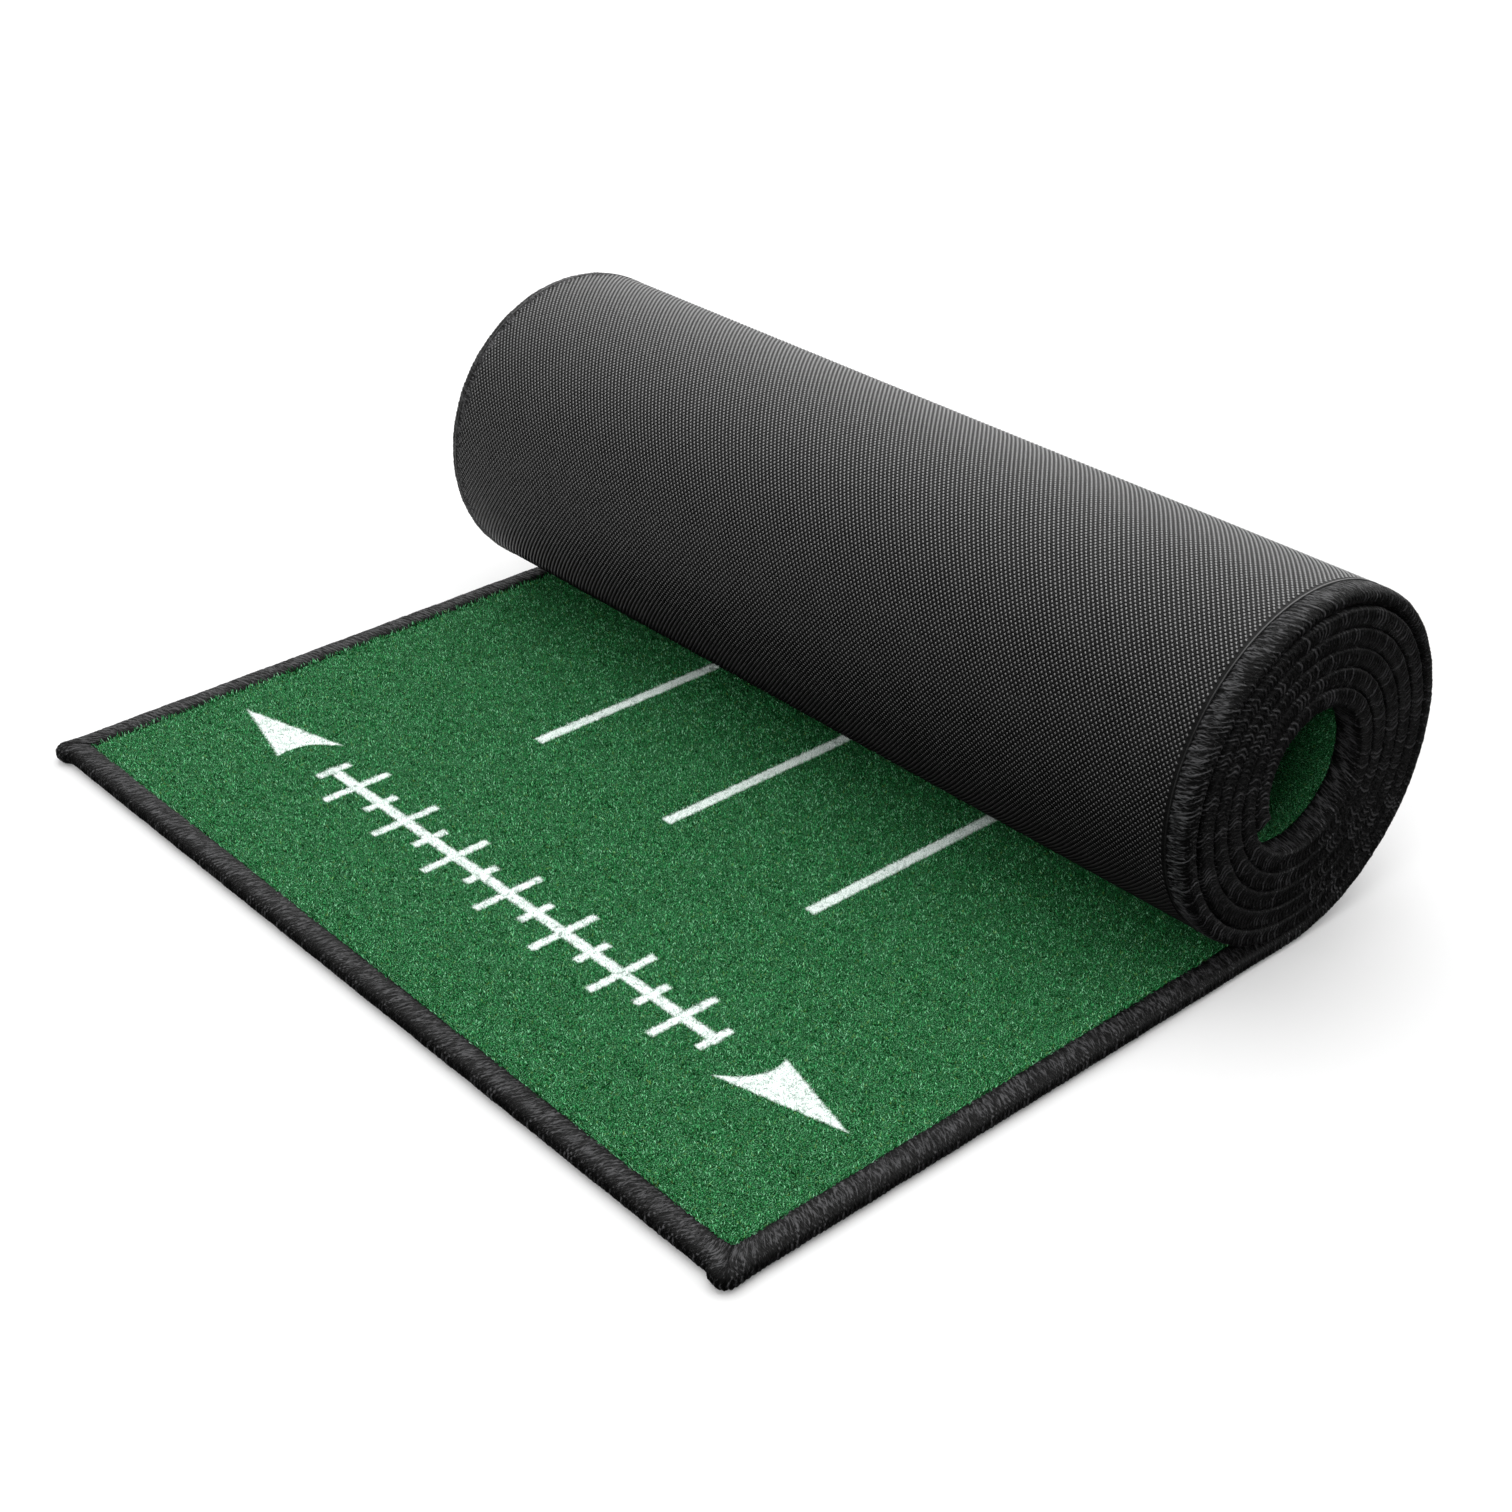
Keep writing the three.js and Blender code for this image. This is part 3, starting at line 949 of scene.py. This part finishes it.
# ---- Floor, light and camera ----
STUDIO_CORNERS = ((-12, -12), (12, 12))
STUDIO_HEIGHT = 9
FLOOR_DEPTH = 0.15 * MM  # under the mat, so that the two don't flicker
FLOOR_WHITE = 0.57  # of its surface
FLOOR_GLOW = 0.08
DOME_LEVEL = 0.08  # brightness at right angles to the slope
DOME_SLOPE = (-0.50, 1.6, 1.5)  # the way in which the dome gets brighter, and how fast
DOME_LEAST = 0.07  # above the horizon
DOME_BELOW = 0.02  # the floor's part of the dome, which the sides of the mat face
HORIZON = 0.06  # half the height over which the one goes over into the other
LAMPS = (  # name, strength, spread in degrees, and the way its light goes
    ("overhead_lamp", 1.6, 70, (0.20, 0.12, -1)),
    ("front_lamp", 2.2, 50, (-0.2, 0.85, -0.45)),
)
TABLE_CORNERS = ((-3, -3), (-HALF_WIDTH - 5 * MM, 3))  # beyond the mat's left edge
TABLE_GLARE = 0.9  # of the white table, as the glossy rubber mirrors it


def white_sheet(name, corners, white, glow, wall_height=0):
    """A level sheet that is only part of the studio: corners are the near left and far right x
    and y. With a wall height it is the walls round those corners instead."""
    (left, near), (right, far) = corners
    mesh = bpy.data.meshes.new(name)
    ring = [(left, near), (right, near), (right, far), (left, far)]
    points = [(x, y, z) for z in (-FLOOR_DEPTH, wall_height) for x, y in ring]
    walls = [(side, (side + 1) % 4, 4 + (side + 1) % 4, 4 + side) for side in range(4)]
    if wall_height:
        mesh.from_pydata(points, [], walls)
    else:
        mesh.from_pydata(points[:4], [], [(0, 1, 2, 3)])
    material = bpy.data.materials.new(name)
    material.use_nodes = True
    surface = material.node_tree.nodes["Principled BSDF"]
    surface.inputs["Base Color"].default_value = (white, white, white, 1)
    surface.inputs["Roughness"].default_value = 0.9
    surface.inputs["Specular IOR Level"].default_value = 0.1
    surface.inputs["Emission Color"].default_value = (1, 1, 1, 1)
    surface.inputs["Emission Strength"].default_value = glow
    mesh.materials.append(material)
    sheet = bpy.data.objects.new(name, mesh)
    bpy.context.scene.collection.objects.link(sheet)
    sheet.visible_diffuse = False  # the mat is not lit from below
    return sheet


def dim_reflections():
    """Keeps the turf's green out of the black rubber, as in a photograph lit from all sides."""
    for piece in bpy.data.objects:
        if piece.type == "MESH" and TURF.name in piece.data.materials:
            piece.visible_glossy = False


def make_floor():
    floor = white_sheet("studio_floor", STUDIO_CORNERS, FLOOR_WHITE, FLOOR_GLOW)
    floor.visible_glossy = False
    walls = white_sheet("studio_walls", STUDIO_CORNERS, 0, 1, wall_height=STUDIO_HEIGHT)
    walls.visible_glossy = False
    walls.visible_shadow = False
    table = white_sheet("mirrored_table", TABLE_CORNERS, 0, TABLE_GLARE)
    table.visible_camera = False
    table.visible_shadow = False


def make_light():
    """A bright studio dome that falls off to the front and the right, with soft lamps overhead
    and in front."""
    world = bpy.data.worlds.new("studio_dome")
    world.use_nodes = True
    tree = world.node_tree

    def step(kind, operation, source, value):
        node = tree.nodes.new(kind)
        node.operation = operation
        node.inputs[1].default_value = value
        tree.links.new(source, node.inputs[0])
        return node

    sky = tree.nodes.new("ShaderNodeTexCoord").outputs["Generated"]
    slope = step("ShaderNodeVectorMath", "DOT_PRODUCT", sky, DOME_SLOPE)
    level = step("ShaderNodeMath", "ADD", slope.outputs["Value"], DOME_LEVEL)
    least = step("ShaderNodeMath", "MAXIMUM", level.outputs[0], DOME_LEAST)
    split = tree.nodes.new("ShaderNodeSeparateXYZ")
    tree.links.new(sky, split.inputs[0])
    above = tree.nodes.new("ShaderNodeMapRange")
    for value, socket in zip((-HORIZON, HORIZON, DOME_BELOW), list(above.inputs)[1:4]):
        socket.default_value = value
    tree.links.new(split.outputs["Z"], above.inputs["Value"])
    tree.links.new(least.outputs[0], above.inputs["To Max"])
    background = tree.nodes["Background"]
    background.inputs["Color"].default_value = (1, 1, 1, 1)
    tree.links.new(above.outputs[0], background.inputs["Strength"])
    bpy.context.scene.world = world
    for name, strength, spread, way in LAMPS:
        light = bpy.data.lights.new(name, "SUN")
        light.energy = strength
        light.angle = math.radians(spread)
        lamp = bpy.data.objects.new(name, light)
        lamp.visible_glossy = False
        lamp.rotation_euler = Vector(way).to_track_quat("-Z", "Y").to_euler()
        bpy.context.scene.collection.objects.link(lamp)


CAMERA_BESIDE = 737.9 * MM  # to the right of the mat's middle line
CAMERA_BEFORE = 416.7 * MM  # in front of its front edge
CAMERA_ABOVE = 609.5 * MM
CAMERA_YAW, CAMERA_PITCH, CAMERA_ROLL = map(math.radians, (48.582, 30.97, -0.161))
CAMERA_LENS, CAMERA_SENSOR = 57.69, 36  # mm


def make_camera():
    data = bpy.data.cameras.new("camera")
    data.sensor_width = CAMERA_SENSOR
    data.lens = CAMERA_LENS
    data.clip_start, data.clip_end = 0.01, 100
    camera = bpy.data.objects.new("camera", data)
    forward = Vector((
        -math.sin(CAMERA_YAW) * math.cos(CAMERA_PITCH),
        math.cos(CAMERA_YAW) * math.cos(CAMERA_PITCH),
        -math.sin(CAMERA_PITCH),
    ))
    level = Vector((math.cos(CAMERA_YAW), math.sin(CAMERA_YAW), 0))
    upright = level.cross(forward)
    right = level * math.cos(CAMERA_ROLL) + upright * math.sin(CAMERA_ROLL)
    up = upright * math.cos(CAMERA_ROLL) - level * math.sin(CAMERA_ROLL)
    turned = Matrix((right, up, -forward)).transposed()
    where = Vector((CAMERA_BESIDE, cad_low.y - CAMERA_BEFORE, CAMERA_ABOVE))
    camera.matrix_world = Matrix.Translation(where) @ turned.to_4x4()
    bpy.context.scene.collection.objects.link(camera)
    bpy.context.scene.camera = camera


dim_reflections()
make_floor()
make_light()
make_camera()
bpy.context.scene.view_settings.view_transform = "Standard"
